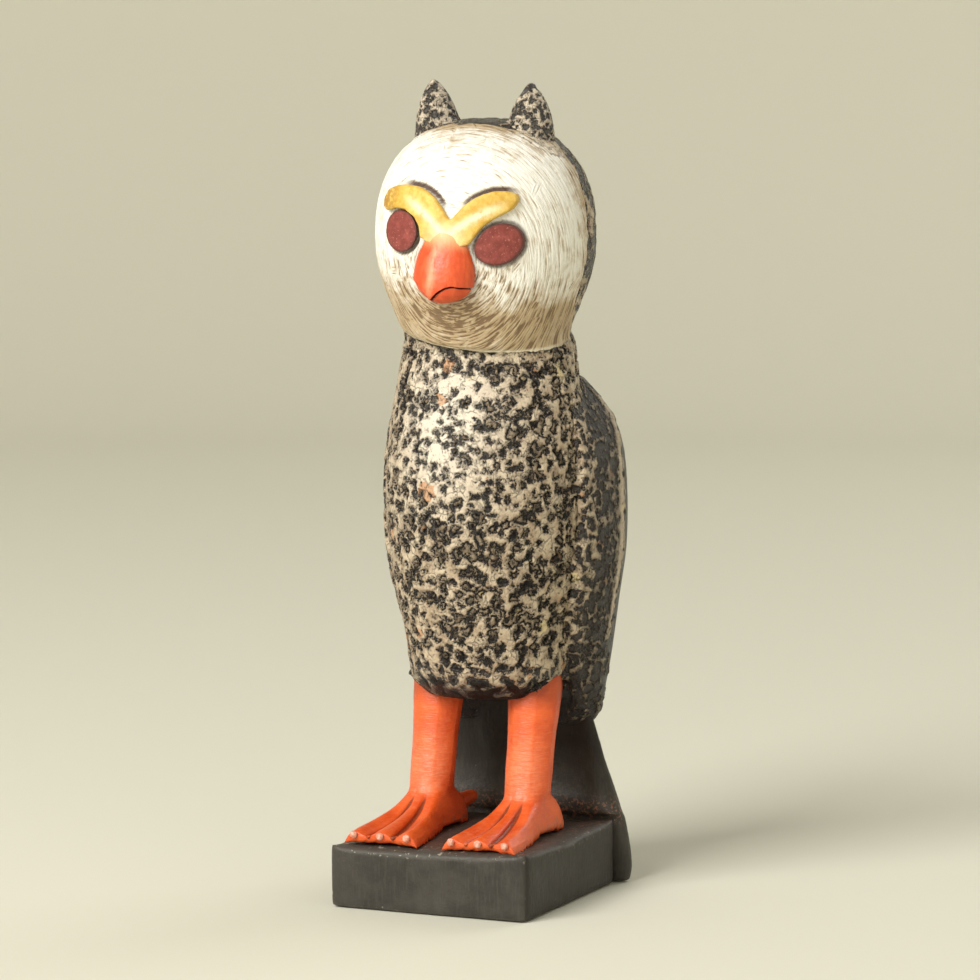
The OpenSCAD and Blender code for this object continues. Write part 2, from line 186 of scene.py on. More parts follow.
def trim(piece, *cuts):
    """Slices the piece itself at each cut, which is a point and the way that is dropped."""
    shape = bmesh.new()
    shape.from_mesh(piece.data)
    for at, way in cuts:
        slice_off(shape, at, way)
    shape.to_mesh(piece.data)
    shape.free()


def keep(piece, inside):
    """Drops the vertices that aren't inside, which leaves an open surface."""
    shape = bmesh.new()
    shape.from_mesh(piece.data)
    shape.verts.ensure_lookup_table()
    gone = [shape.verts[i] for i in np.nonzero(~inside)[0]]
    bmesh.ops.delete(shape, geom=gone, context="VERTS")
    shape.to_mesh(piece.data)
    shape.free()


def drop_crumbs(piece):
    """Deletes everything but the largest connected part."""
    shape = bmesh.new()
    shape.from_mesh(piece.data)
    waiting = set(shape.verts)
    largest = set()
    while waiting:
        island = set()
        edge = {waiting.pop()}
        while edge:
            island |= edge
            edge = {e.other_vert(v) for v in edge for e in v.link_edges} - island
        waiting -= island
        if len(island) > len(largest):
            largest = island
    bmesh.ops.delete(shape, geom=[v for v in shape.verts if v not in largest], context="VERTS")
    shape.to_mesh(piece.data)
    shape.free()


def thicken(piece, depth):
    """Turns an open surface into a closed shell that reaches depth mm inwards."""
    shell = piece.modifiers.new("shell", "SOLIDIFY")
    shell.thickness = depth * MM
    shell.offset = -1
    bake_modifiers(piece)


def rub(piece, rounds):
    """Smooths the surface, which rounds its edges and fills its corners."""
    if rounds:
        smooth = piece.modifiers.new("rub", "SMOOTH")
        smooth.factor = 0.5
        smooth.iterations = rounds
    bake_modifiers(piece)


def soften(piece, share, rounds):
    """Rubs the piece smooth by the given share at each vertex."""
    points = places(piece)
    rubbed = piece.copy()
    rubbed.data = piece.data.copy()
    bpy.context.scene.collection.objects.link(rubbed)
    rub(rubbed, rounds)
    place(piece, points * (1 - share[:, None]) + places(rubbed) * share[:, None])
    bpy.data.objects.remove(rubbed)


def wobble(points, size, reach):
    """A smooth random number for each point, up to reach mm, changing over about size mm."""
    return np.array([noise.noise(Vector(p) / (size * MM)) for p in points]) * reach * 2 * MM


def smoothed(piece, values, rounds):
    """Values of the vertices, averaged with their neighbours' a number of times."""
    edges = np.empty(len(piece.data.edges) * 2, np.int32)
    piece.data.edges.foreach_get("vertices", edges)
    a, b = edges.reshape(-1, 2).T
    count = np.bincount(np.concatenate([a, b]), minlength=len(values))
    columns = values.reshape(len(values), -1)
    for _ in range(rounds):
        columns = np.stack([
            (np.bincount(a, c[b], len(values)) + np.bincount(b, c[a], len(values))) / count
            for c in columns.T], axis=1)
    return columns.reshape(values.shape)


def hollowness(piece, rounds, depth):
    """From -1 on ridges to 1 in creases that are about so many mm deep."""
    points = places(piece)
    inwards = smoothed(piece, points, rounds) - points
    return np.clip((inwards * normals(piece)).sum(1) / (depth * MM), -1, 1)


def nearest(piece, others, reach):
    """For each vertex: how far other pieces' surfaces are, and the vector from there to the vertex."""
    points = places(piece)
    far = np.full(len(points), reach * MM * 2)
    apart = np.zeros((len(points), 3))
    for other in others:
        mesh = other.data
        tree = BVHTree.FromPolygons([v.co for v in mesh.vertices], [tuple(p.vertices) for p in mesh.polygons])
        low, high = places(other).min(0) - reach * MM, places(other).max(0) + reach * MM
        close = np.all((points > low) & (points < high), axis=1)
        for i in np.nonzero(close)[0]:
            found, _, _, distance = tree.find_nearest(points[i], reach * MM)
            if found is not None and distance < far[i]:
                far[i] = distance
                apart[i] = points[i] - np.array(found)
    return far, apart


def height_over(points, base):
    """How far each point lies outside the base piece's surface; it is negative inside."""
    tree = BVHTree.FromObject(base, bpy.context.evaluated_depsgraph_get())
    heights = np.empty(len(points))
    for i, point in enumerate(points):
        found, way, _, distance = tree.find_nearest(point)
        heights[i] = math.copysign(distance, (Vector(point) - found).dot(way))
    return heights


def growth(piece, base, least, depth):
    """Keeps what stands proud of the base piece, as a shell whose rim dips into the base."""
    height = height_over(places(piece), base)
    keep(piece, height > least * MM)
    height = height[height > least * MM]
    points = places(piece)
    dip = (least + 0.35) * MM * ease(height, (least + 0.7) * MM, least * MM)
    place(piece, points - normals(piece) * dip[:, None])
    thicken(piece, depth)


# ---------------------------------------------------------------- node graphs, shared by relief and paint

class Graph:
    """Adds nodes to a geometry tree or a material's tree. Inputs are sockets, numbers, points or colours."""

    def __init__(self, tree):
        self.tree = tree

    def node(self, kind, inputs, **settings):
        made = self.tree.nodes.new(kind)
        for name, value in settings.items():
            setattr(made, name, value)
        for key, value in inputs.items():
            if isinstance(value, bpy.types.NodeSocket):
                self.tree.links.new(value, made.inputs[key])
            else:
                made.inputs[key].default_value = value
        return made

    def math(self, operation, a, b=0.0):
        return self.node("ShaderNodeMath", {0: a, 1: b}, operation=operation).outputs[0]

    def add(self, a, b):
        return self.math("ADD", a, b)

    def times(self, a, b):
        return self.math("MULTIPLY", a, b)

    def vector(self, operation, a, b):
        return self.node("ShaderNodeVectorMath", {0: a, 1: b}, operation=operation).outputs[0]

    def stored(self, name, is_point=False):
        """A number or a point that store() kept on the vertices."""
        if self.tree.type == "GEOMETRY":
            kind = "FLOAT_VECTOR" if is_point else "FLOAT"
            made = self.node("GeometryNodeInputNamedAttribute", {"Name": name}, data_type=kind)
            return next(s for s in made.outputs if s.enabled and s.name == "Attribute")
        made = self.node("ShaderNodeAttribute", {}, attribute_name=name)
        return made.outputs["Vector" if is_point else "Fac"]

    def noise(self, where, size, detail=2.0, rough=0.5, output=0):
        """Noise with features of about size mm."""
        return self.node("ShaderNodeTexNoise", {
            "Vector": where, "Scale": 1 / (size * MM), "Detail": detail, "Roughness": rough,
        }).outputs[output]

    def cells(self, where, size, output="Distance", feature="F1"):
        """Cells of about size mm."""
        return self.node("ShaderNodeTexVoronoi", {
            "Vector": where, "Scale": 1 / (size * MM)}, feature=feature).outputs[output]

    def ramp(self, value, start, end, low=0.0, high=1.0):
        """low up to start, high from end on, and smooth between."""
        return self.node("ShaderNodeMapRange", {
            "Value": value, "From Min": start, "From Max": end, "To Min": low, "To Max": high,
        }, interpolation_type="SMOOTHSTEP").outputs[0]

    def mix(self, share, a, b):
        """Colour a where share is 0 and b where it is 1."""
        return self.node("ShaderNodeMix", {0: share, 6: a, 7: b}, data_type="RGBA").outputs[2]

    def warped(self, where, size, shift):
        """Places shifted about by up to shift mm, over distances of about size mm."""
        wander = self.vector("SUBTRACT", self.noise(where, size, 1.0, 0.5, 1), (0.5, 0.5, 0.5))
        return self.vector("ADD", where, self.vector("MULTIPLY", wander, (shift * 2 * MM,) * 3))

    def stretched(self, where, factors):
        """Places scaled along each axis, so that noise becomes longer where the factor is small."""
        return self.vector("MULTIPLY", where, factors)


def carve(piece, pattern, depth, finer=1.0):
    """Moves the surface in by depth mm times the pattern, and keeps its untouched place for the paint.
    The pattern and the paint are smaller by the factor finer."""
    store(piece, "rest", places(piece) * finer)
    tree = bpy.data.node_groups.new(piece.name + "_relief", "GeometryNodeTree")
    for way in ("INPUT", "OUTPUT"):
        tree.interface.new_socket("Geometry", in_out=way, socket_type="NodeSocketGeometry")
    g = Graph(tree)
    start = g.node("NodeGroupInput", {})
    inwards = g.times(pattern(g, g.stored("rest", True)), -depth * MM)
    offset = g.node("ShaderNodeVectorMath", {
        0: g.node("GeometryNodeInputNormal", {}).outputs[0], 3: inwards}, operation="SCALE").outputs[0]
    moved = g.node("GeometryNodeSetPosition", {"Geometry": start.outputs[0], "Offset": offset})
    end = g.node("NodeGroupOutput", {})
    tree.links.new(moved.outputs[0], end.inputs[0])
    piece.modifiers.new("relief", "NODES").node_group = tree
    bake_modifiers(piece)


def srgb(red, green, blue):
    """A colour given in 0 to 255 as it looks on a screen, made linear."""
    shares = [c / 255 for c in (red, green, blue)]
    return tuple(s / 12.92 if s <= 0.04045 else ((s + 0.055) / 1.055) ** 2.4 for s in shares) + (1,)


def paint(name, build):
    """A material whose colour, roughness and bump height come from build(g), which adds their nodes."""
    material = bpy.data.materials.new(name)
    material.use_nodes = True
    g = Graph(material.node_tree)
    shader = material.node_tree.nodes["Principled BSDF"]
    look = build(g)
    links = material.node_tree.links
    links.new(look["colour"], shader.inputs["Base Color"])
    links.new(look["rough"], shader.inputs["Roughness"])
    shader.inputs["Specular IOR Level"].default_value = look.get("gloss", 0.5)
    bump = g.node("ShaderNodeBump", {
        "Strength": 1.0, "Distance": look["bump"] * MM, "Height": look["height"]})
    links.new(bump.outputs[0], shader.inputs["Normal"])
    return material


def hand_over(piece, nodes, material):
    """Finishes a piece: its paint, the CAD nodes that it stands for, and the body that it rides on."""
    piece.data.materials.clear()
    piece.data.materials.append(material)
    piece.data.polygons.foreach_set("use_smooth", [True] * len(piece.data.polygons))
    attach(piece, "root")
    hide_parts(*nodes)
    return piece


# ---------------------------------------------------------------- patterns

def mottle(g, where):
    """Height of the hammered paint: low in the rounded pits, high on the worn ridges between them."""
    wandering = g.warped(where, 3.0, 1.5)
    pits = g.cells(wandering, 4.0)
    blobs = g.noise(wandering, 3.0, 4.0, 0.62)
    swells = g.noise(where, 10.0, 2.0, 0.5)
    sized = g.add(g.times(g.add(blobs, -0.5), 1.8), g.times(g.add(swells, -0.5), 1.0))
    return g.add(g.add(pits, 0.02), g.times(sized, 0.75))


def pits(g, where):
    """1 in the pits and 0 on the ridges; the stored pale share moves the border between them."""
    height = g.add(mottle(g, where), g.times(g.stored("pale"), 0.3))
    return g.ramp(height, 0.68, 0.32)


def strokes(g):
    """Thin brush strokes that mostly run round the bill, crossed by others in places."""
    round_bill = g.noise(g.stored("brush", True), 0.62, 2.0, 0.55)
    crossing = g.noise(g.stored("brush_across", True), 0.7, 2.0, 0.55)
    patch = g.ramp(g.noise(g.stored("rest", True), 8, 2.0, 0.5), 0.6, 0.7)
    return g.add(g.times(round_bill, g.math("SUBTRACT", 1.0, patch)), g.times(crossing, patch))


# ---------------------------------------------------------------- paints

CHARCOAL = srgb(35, 31, 30)


def feather_paint(g):
    """Charcoal pits between worn cream ridges, with fine specks, cracks and a few coloured flecks."""
    where = g.stored("rest", True)
    height = g.add(mottle(g, where), g.times(g.stored("pale"), 0.3))
    specks = g.noise(where, 0.9, 3.0, 0.7)
    grains = g.noise(where, 0.45, 1.0, 0.5)
    edge = g.add(height, g.times(g.add(specks, -0.5), 0.95))
    worn = g.ramp(edge, 0.49, 0.58)
    cracks = g.ramp(g.cells(g.warped(where, 2.0, 1.1), 4.2, feature="DISTANCE_TO_EDGE"), 0.07, 0.02)
    cracked = g.times(cracks, g.ramp(g.noise(where, 5, 2.0, 0.5), 0.46, 0.6))
    worn_left = g.times(worn, g.math("SUBTRACT", 1.0, g.times(cracked, 0.5)))
    patches = g.noise(where, 5.0, 3.0, 0.6)
    cream = g.mix(g.ramp(patches, 0.35, 0.62), srgb(170, 148, 122), srgb(202, 184, 158))
    # Painted sheen: the cream turns whiter on the chest, partly paler paint and partly painted highlight
    lit = g.mix(g.stored("pale_and_sheen"), cream, srgb(234, 224, 208))
    flecks = g.node("ShaderNodeSeparateColor", {0: g.cells(g.warped(where, 2.0, 1.0), 5.0, "Color")})
    ochre = g.mix(g.ramp(flecks.outputs[0], 0.985, 0.99), lit, srgb(216, 196, 150))
    rosy = g.mix(g.ramp(flecks.outputs[1], 0.985, 0.99), ochre, srgb(196, 152, 116))
    dirt = g.mix(g.times(g.ramp(specks, 0.42, 0.32), 0.7), rosy, srgb(112, 94, 80))
    dark = g.mix(g.ramp(g.noise(where, 1.6, 3.0, 0.6), 0.4, 0.7), CHARCOAL, srgb(58, 52, 49))
    dusted = g.mix(g.times(g.ramp(grains, 0.62, 0.7), 0.75), dark, srgb(158, 145, 130))
    # Painted sheen: on the chest the charcoal pits turn grey, as a gloss highlight would show them
    painted_sheen = g.mix(g.times(g.stored("pale_and_sheen"), g.ramp(specks, 0.3, 0.6, 0.25, 0.7)), dusted, srgb(128, 124, 120))
    colour = g.mix(worn_left, painted_sheen, dirt)
    # Painted shade, mixed in as the stored darkening share says
    shaded = g.mix(g.times(g.stored("shade_and_grime"), 0.9), colour, srgb(30, 24, 21))
    relief = g.add(g.times(g.ramp(edge, 0.3, 0.75), 1.2), g.times(specks, 0.6))
    bumps = g.add(relief, g.times(cracked, -0.4))
    return {"colour": shaded, "rough": g.ramp(worn, 0, 1, 0.3, 0.5), "gloss": 0.6,
            "height": bumps, "bump": 0.95}


def black_paint(g):
    """Satin charcoal paint with faint upright brush marks, and pale wood at knocked edges."""
    where = g.stored("rest", True)
    marks = g.noise(g.stretched(where, (1, 1, 0.12)), 0.8, 2.0, 0.6)
    clouds = g.noise(where, 12, 4.0, 0.65)
    base = g.mix(g.ramp(clouds, 0.3, 0.7), srgb(50, 47, 43), srgb(66, 62, 57))
    brushed = g.mix(g.times(g.ramp(marks, 0.45, 0.75), 0.6), base, srgb(70, 67, 62))
    chips = g.noise(where, 2.2, 3.0, 0.7)
    ridge = g.ramp(g.stored("hollow"), -0.25, -0.8)
    rubbed = g.mix(g.times(ridge, 0.35), brushed, srgb(92, 87, 79))
    knocked = g.times(ridge, g.ramp(chips, 0.62, 0.68))
    worn = g.mix(knocked, rubbed, srgb(150, 142, 130))
    dots = g.ramp(g.cells(where, 7.0), 0.06, 0.035)
    dotted = g.mix(g.times(dots, 0.6), worn, srgb(150, 146, 138))
    scuffs = g.times(g.stored("scuff"), g.ramp(g.noise(where, 1.4, 3.0, 0.7), 0.52, 0.6))
    scuffed = g.mix(scuffs, dotted, srgb(136, 96, 76))
    # Painted shade, mixed in as the stored darkening share says
    shaded = g.mix(g.stored("shade_and_grime"), scuffed, srgb(26, 20, 17))
    return {"colour": shaded, "rough": g.ramp(clouds, 0.3, 0.7, 0.4, 0.52), "gloss": 0.28,
            "height": g.add(g.times(marks, 0.5), g.times(g.noise(where, 2.0, 4.0, 0.65), 0.9)), "bump": 0.25}


def orange_paint(g):
    """Worn orange over fine crosswise knife marks, darkened in the grooves by dust and painted shade."""
    where = g.stored("rest", True)
    lines = g.noise(g.stretched(where, (0.14, 0.14, 1)), 0.5, 2.0, 0.6)
    clouds = g.noise(where, 8, 3.0, 0.6)
    base = g.mix(g.ramp(clouds, 0.3, 0.7), srgb(212, 78, 26), srgb(230, 98, 40))
    rubbed = g.mix(g.times(g.ramp(lines, 0.5, 0.72), 0.3), base, srgb(232, 128, 80))
    # Paler on the front of the lower shin: wear and a painted sheen
    shin_wear_and_sheen = g.mix(g.times(g.stored("worn"), g.ramp(lines, 0.35, 0.6, 0.3, 0.65)), rubbed, srgb(240, 160, 118))
    edges = g.mix(g.times(g.ramp(g.stored("hollow"), -0.2, -0.9), 0.5), shin_wear_and_sheen, srgb(238, 140, 92))
    speck = g.noise(where, 1.5, 3.0, 0.7)
    bare = g.mix(g.ramp(speck, 0.74, 0.77), edges, srgb(232, 184, 146))
    # Darker in the grooves: dust and painted shade
    deep = g.ramp(g.stored("hollow"), 0.15, 0.7)
    dusty = g.mix(g.times(deep, g.ramp(speck, 0.25, 0.5, 0.5, 0.9)), bare, srgb(124, 54, 30))
    grey = g.mix(g.times(g.stored("dust"), g.ramp(speck, 0.46, 0.6)), dusty, srgb(140, 108, 92))
    # Painted shade where the leg rises under the body
    shaded = g.mix(g.times(g.stored("shade_and_grime"), 0.7), grey, srgb(120, 44, 22))
    return {"colour": shaded, "rough": g.ramp(clouds, 0.3, 0.7, 0.34, 0.48), "gloss": 0.5,
            "height": g.add(g.times(lines, 0.8), g.times(speck, 0.6)), "bump": 0.18}


def bill_paint(g):
    """Orange-red, with a painted highlight along the bill's ridge, and cream where it springs from the brow.
    """
    where = g.stored("rest", True)
    clouds = g.noise(g.stretched(where, (1, 1, 0.4)), 3.2, 3.0, 0.6)
    base = g.mix(g.ramp(clouds, 0.35, 0.7), srgb(208, 76, 34), srgb(222, 94, 46))
    # Painted highlight along the ridge
    ridge = g.mix(g.times(g.stored("ridge"), g.ramp(clouds, 0.3, 0.55)), base, srgb(236, 162, 124))
    root = g.mix(g.stored("root"), ridge, srgb(238, 196, 140))
    # Painted shade in the mouth groove and at the tip
    tip = g.mix(g.times(g.stored("shade_and_grime"), 0.85), root, srgb(112, 40, 26))
    return {"colour": tip, "rough": g.ramp(clouds, 0.3, 0.7, 0.34, 0.46), "gloss": 0.5,
            "height": g.noise(where, 1.2, 4.0, 0.65), "bump": 0.16}


def yellow_paint(g):
    """Ochre yellow, with a painted highlight almost white along the top of the ridge."""
    where = g.stored("rest", True)
    clouds = g.noise(where, 3.0, 4.0, 0.6)
    base = g.mix(g.ramp(clouds, 0.35, 0.65), srgb(204, 160, 58), srgb(224, 188, 94))
    # Painted highlight along the crest
    crest = g.mix(g.times(g.stored("ridge"), g.ramp(clouds, 0.2, 0.5)), base, srgb(240, 229, 194))
    root = g.mix(g.stored("root"), crest, srgb(240, 228, 200))
    # The arms darken towards their ends, in a noisy patch
    dark = g.mix(g.times(g.stored("shade_and_grime"), g.ramp(g.noise(where, 1.4, 2.0, 0.6), 0.3, 0.55)),
                 root, srgb(146, 100, 44))
    return {"colour": dark, "rough": g.ramp(clouds, 0.3, 0.7, 0.4, 0.55), "gloss": 0.45,
            "height": g.noise(where, 1.3, 4.0, 0.65), "bump": 0.22}


def white_paint(g):
    """Off-white brushed round the face over brown, which shows between the strokes."""
    where = g.stored("rest", True)
    lines = strokes(g)
    patches = g.times(g.add(g.noise(where, 6, 3.0, 0.65), -0.5), 1.6)
    dirt = g.add(g.stored("dirt"), g.times(patches, g.ramp(g.stored("dirt"), 0.0, 0.3)))
    white = g.mix(g.ramp(dirt, 0.15, 1.15), srgb(241, 238, 230), srgb(188, 168, 138))
    soiled = g.times(g.stored("smudge"), g.ramp(patches, -0.12, 0.12, 0.3, 1.0))
    level = g.add(g.add(g.times(dirt, 0.16), 0.3), g.times(soiled, 0.15))
    depth = g.math("SUBTRACT", level, lines)
    ochre = g.mix(g.times(g.ramp(depth, -0.16, 0.02), 0.62), white, srgb(180, 154, 116))
    brown = g.mix(g.times(g.ramp(depth, -0.02, 0.1), 0.8), ochre, srgb(104, 78, 52))
    # Painted shade in the grooves above the brow and round the eyes, and grime with painted shade beside the
    # bill
    outlined = g.mix(g.stored("outline"), brown, srgb(74, 46, 34))
    # Painted highlight: a pale line along the face's lower edge
    rim = g.mix(g.stored("rim"), outlined, srgb(232, 222, 198))
    return {"colour": rim, "rough": g.ramp(lines, 0.3, 0.7, 0.46, 0.6), "gloss": 0.4,
            "height": g.add(g.times(lines, 1.3), g.times(g.noise(where, 1.2, 3.0, 0.6), 0.5)), "bump": 0.4}


def maroon_paint(g):
    """Maroon with a dusty bloom and pale specks."""
    where = g.stored("rest", True)
    clouds = g.noise(where, 3.0, 3.0, 0.6)
    base = g.mix(g.ramp(clouds, 0.35, 0.7), srgb(122, 50, 44), srgb(146, 68, 60))
    speck = g.noise(where, 0.9, 2.0, 0.6)
    dusted = g.mix(g.times(g.ramp(speck, 0.62, 0.7), 0.6), base, srgb(190, 130, 118))
    # Painted shade round the eye's edge
    edge = g.mix(g.stored("shade_and_grime"), dusted, srgb(60, 30, 28))
    return {"colour": edge, "rough": g.ramp(clouds, 0.3, 0.7, 0.4, 0.52), "gloss": 0.5,
            "height": g.noise(where, 1.3, 3.0, 0.6), "bump": 0.14}


def claw_paint(g):
    """Pale pink paint, chipped to the dark."""
    where = g.stored("rest", True)
    clouds = g.noise(where, 1.3, 3.0, 0.6)
    base = g.mix(g.ramp(clouds, 0.4, 0.6), srgb(214, 132, 108), srgb(232, 178, 158))
    return {"colour": base, "rough": g.ramp(clouds, 0.3, 0.7, 0.4, 0.55),
            "height": clouds, "bump": 0.1}


def bare_wood(g):
    """Turned wood with grain along its length."""
    where = g.node("ShaderNodeTexCoord", {}).outputs["Object"]
    grain = g.noise(g.stretched(where, (1, 1, 0.08)), 0.9, 4.0, 0.6)
    colour = g.mix(g.ramp(grain, 0.35, 0.65), srgb(166, 126, 84), srgb(204, 168, 120))
    return {"colour": colour, "rough": g.ramp(grain, 0.3, 0.7, 0.6, 0.72), "height": grain, "bump": 0.15}


# ---------------------------------------------------------------- pieces

JOINTED = ("body", "head", "face_disc")
PLUGS = ("right_leg", "left_leg", "neck_dowel", "right_leg_dowel", "left_leg_dowel")


def find_joint():
    """A point on the slanting joint between neck and head, and the way it faces."""
    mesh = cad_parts["face_disc"].data
    area = read(mesh.polygons, "area", 1)
    way = read(mesh.polygons, "normal", 3)
    middle = read(mesh.polygons, "center", 3)
    share = (area * (way[:, 2] < -0.9))[:, None]
    facing = -(way * share).sum(0)
    return (middle * share).sum(0) / share.sum(), facing / np.linalg.norm(facing)


JOINT_AT, JOINT_UP = find_joint()


def over_joint(points):
    """Height of each point over the joint, which is negative on the body."""
    return (points - JOINT_AT) @ JOINT_UP


def beyond_face(points):
    """How far each point lies outside the white paint, whose border wanders a little."""
    crown = ease(points[:, 2], CROWN - 16 * MM, CROWN - MM)
    between = ease(np.abs(points[:, 0]), 27 * MM, 15 * MM)
    chin = ease(points[:, 2], CROWN - 64 * MM, CROWN - 80 * MM)
    border = FACE_BACK - MM - 15 * MM * crown * between + 9 * MM * chin
    back = points[:, 1] - border + wobble(points, 5, 0.9)
    return np.maximum(back, -over_joint(points) + wobble(points, 9, 0.4))


def make_carving():
    """Head and torso in one, with the neck blended between them, to be divided by its paint."""
    whole = clay("carving", JOINTED, 0.58, 10, PLUGS)
    drop_crumbs(whole)
    points = places(whole)
    near_joint = bell(over_joint(points), 0, 8 * MM)
    near_base = 0.8 * ease(points[:, 2], BODY_LOW[2] + 12 * MM, BODY_LOW[2] + 4 * MM)
    soften(whole, np.maximum(near_joint, near_base), 220)
    return whole


def sink_under_face(piece):
    """Lowers the surface where the face's shell lies on it."""
    points = places(piece)
    under = 1.4 * MM * ease(beyond_face(points), 0.2 * MM, -2.5 * MM)
    place(piece, points - normals(piece) * under[:, None])


def feather_shares(piece, pale, pale_and_sheen, shade_and_grime):
    """Keeps what the feather paint reads: how much is pale, how much painted sheen it gets, and how much
    painted shade and grime.
    """
    store(piece, "pale", pale)
    store(piece, "pale_and_sheen", pale_and_sheen)
    store(piece, "shade_and_grime", shade_and_grime)


def make_torso(carving, feathers):
    """Hammered, mottled torso with a rounded belly."""
    piece = part_of(carving, "torso", JOINT_AT - JOINT_UP * 0.05 * MM, JOINT_UP)
    points = places(piece)
    height = (points[:, 2] - BODY_LOW[2]) / (JOINT_AT[2] - BODY_LOW[2])
    front = ease(points[:, 1], 12 * MM, -14 * MM)
    # The chest gets more cream and a painted sheen
    pale_and_sheen = front * bell(height, 0.78, 0.21) * bell(points[:, 0], -2 * MM, 19 * MM)
    pale = 0.06 - 0.09 * ease(height, 0.5, 0.1) + 0.32 * pale_and_sheen - 0.55 * ease(points[:, 1], 20 * MM, 32 * MM)
    between_legs = ease(np.abs(points[:, 0]), 26 * MM, 8 * MM)
    # Painted shade on the underside between the legs, which also takes cream out of the mottle there
    shade_and_grime = ease(points[:, 2], BODY_LOW[2] + 9 * MM, BODY_LOW[2] + 2 * MM) * between_legs
    feather_shares(piece, pale - 0.4 * shade_and_grime, 0.85 * pale_and_sheen, shade_and_grime)
    sink_under_face(piece)
    carve(piece, pits, 1.0)
    soften(piece, ease(places(piece)[:, 2], BODY_LOW[2] + 15 * MM, BODY_LOW[2] + 10 * MM), 40)
    return hand_over(piece, ["body"], feathers)


def make_head(carving, feathers):
    """Dark back of the head, which runs forward over the crown; its front is sunk under the face."""
    piece = part_of(carving, "head_back", JOINT_AT - JOINT_UP * 0.8 * MM, -JOINT_UP)
    points = places(piece)
    none = np.zeros(len(points))
    near_face = ease(beyond_face(points), 9 * MM, 0)
    top = ease(points[:, 2], CROWN - 10 * MM, CROWN - 3 * MM)
    feather_shares(piece, -0.62 + 0.4 * near_face * (1 - top) - 0.2 * top, none, none)
    sink_under_face(piece)
    carve(piece, pits, 0.35)
    return hand_over(piece, ["head"], feathers)


def make_wing(side, torso, feathers):
    """Folded wing: dark side with small flecks, a worn pale crest and a plain back, with painted shade on its
    side band, back, inner face and lower end.
    """
    node = f"{side}_wing"
    piece = clay(f"{side}_folded_wing", ["body", node, "wing_dowels"], 0.58, 60, PLUGS)
    growth(piece, torso, 0.45, 2.5)
    points = places(piece)
    about = np.degrees(np.arctan2(points[:, 1] - 14 * MM, np.abs(points[:, 0])))
    z = points[:, 2] / MM  # heights on the wing are in mm over the table
    crest_angle = 25 + 6 * ease(z, 160, 178) + 24 * ease(z, 95, 59)
    crest = bell(about, crest_angle, 2.6) * ease(z, 88, 104) * ease(z, 190, 180)
    lead = ease(about, 5, -2) * ease(z, 84, 104)
    behind = ease(about, crest_angle + 3, crest_angle + 8)
    inner = ease(np.abs(points[:, 0]), 25 * MM, 17 * MM) * ease(z, 96, 84)
    lowest = ease(z, 90, 68)
    # Side band of the wing, darkened with painted shade
    band = 0.5 * ease(about, 3, 8) * (1 - crest)
    pale = -0.43 + 2.2 * crest + 0.5 * lead - 2 * behind - 2 * inner - 0.5 * lowest
    # Painted shade on the side band, the inner face, the lower end and the back
    shade_and_grime = np.maximum(np.maximum(0.6 * behind, 0.6 * lowest), np.maximum(inner, band))
    feather_shares(piece, pale, 0.2 * crest, shade_and_grime)
    carve(piece, pits, 0.5, 1.35)
    return hand_over(piece, [node], feathers)


def make_ear(side, head, feathers):
    """Ear tuft that flares out of the head and has a worn, pale tip."""
    node = f"{side}_ear_tuft"
    low, high = corners(node)
    middle = (low + high) / 2
    piece = clay(f"{side}_ear", ["head", "face_disc", node], 0.42, 44)
    points = places(piece)
    from_middle = np.linalg.norm((points - middle)[:, :2], axis=1)
    keep(piece, (from_middle < EAR_PATCH) & (points[:, 2] > CROWN - 18 * MM))
    points = places(piece)
    lift = ease(points[:, 2], CROWN, high[2] - 2 * MM)
    points[:, 2] += (0.2 if side == "right" else -1.0) * MM * lift
    place(piece, points)
    growth(piece, head, 0.3, 2)
    points = places(piece)
    tip = ease(points[:, 2], high[2] - 4 * MM, high[2])
    none = np.zeros(len(points))
    feather_shares(piece, 0.08 + 0.5 * tip, none + 0.35, none)
    carve(piece, pits, 0.4, 1.8)
    return hand_over(piece, [node], feathers)


def make_plinth(black):
    """Hand-cut block with softened, slightly uneven edges."""
    piece = clay("block", ["plinth", "right_leg_dowel", "left_leg_dowel"], 0.75, 0)
    trim(piece, (PLINTH_HIGH, UP))
    rub(piece, 42)
    points = places(piece)
    x, y, z = points.T
    share = ease(z, PLINTH_HIGH[2] * 0.5, PLINTH_HIGH[2])
    dip = 1.7 * MM * ease(x, 0, PLINTH_LOW[0]) * ease(y, 0, PLINTH_LOW[1])
    points[:, 2] -= share * dip
    place(piece, points)
    store(piece, "hollow", hollowness(piece, 8, 0.5))
    top = ease(z, PLINTH_HIGH[2] - 2 * MM, PLINTH_HIGH[2] - MM)
    beside_feet = ease(y, 8 * MM, 20 * MM)
    store(piece, "scuff", (0.35 + 0.6 * beside_feet) * top)
    # Painted shade on the side that faces +X, and the top face darkened a little
    store(piece, "shade_and_grime", np.maximum(0.35 * top, 0.5 * ease(normals(piece)[:, 0], 0.5, 0.9)))

    def knocks(g, where):
        lumps = g.noise(where, 16, 2.0, 0.5)
        chips = g.ramp(g.noise(where, 3.2, 2.0, 0.6), 0.58, 0.72)
        ridge = g.ramp(g.stored("hollow"), -0.2, -0.8)
        return g.add(g.times(lumps, 0.7), g.times(g.times(chips, ridge), 0.5))

    carve(piece, knocks, 0.8)
    return hand_over(piece, ["plinth"], black)


